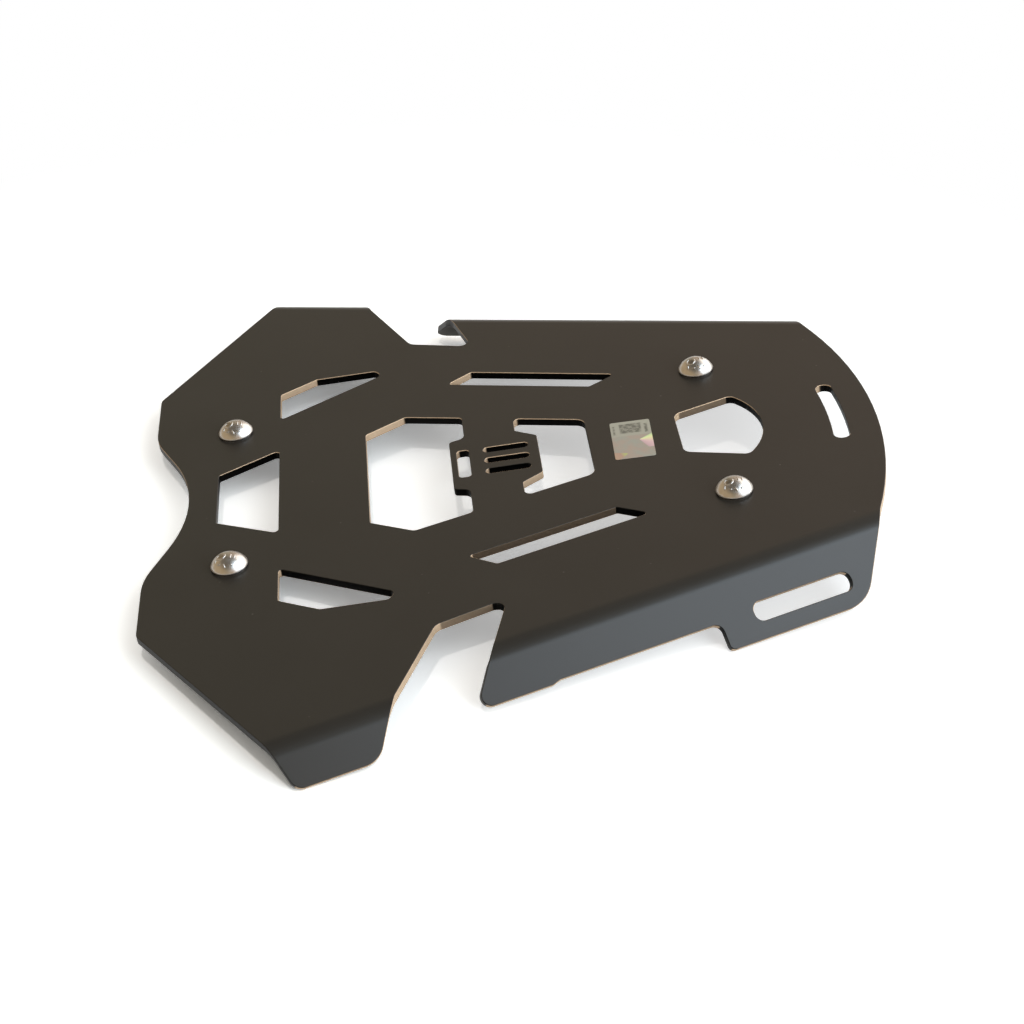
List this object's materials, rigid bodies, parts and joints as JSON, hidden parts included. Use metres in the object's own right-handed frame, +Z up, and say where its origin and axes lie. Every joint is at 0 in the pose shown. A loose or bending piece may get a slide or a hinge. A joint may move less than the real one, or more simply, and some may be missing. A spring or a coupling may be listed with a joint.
{
  "type": "top case mounting plate",
  "caption": "Folded sheet-metal luggage plate with two ears, down-turned slotted side flanges, strap slots, a bridged centre opening and dome head screws.",
  "frame": {"origin": "middle of the four screws, on the deck underside that seats on the rack", "axes": "+X towards the tail end, +Y to the right hand side seen by the rider, +Z up out of the deck"},
  "size_m": [0.2707, 0.325, 0.0261],
  "materials": {
    "black_sheet": "satin black, finely textured",
    "stainless": "bright",
    "foil": "metallised foil"
  },
  "bodies": {
    "root": {"mounting_plate": "black_sheet", "front_left_screw": "stainless", "front_right_screw": "stainless", "rear_left_screw": "stainless", "rear_right_screw": "stainless", "foil_label": "foil"}
  },
  "joints": []
}
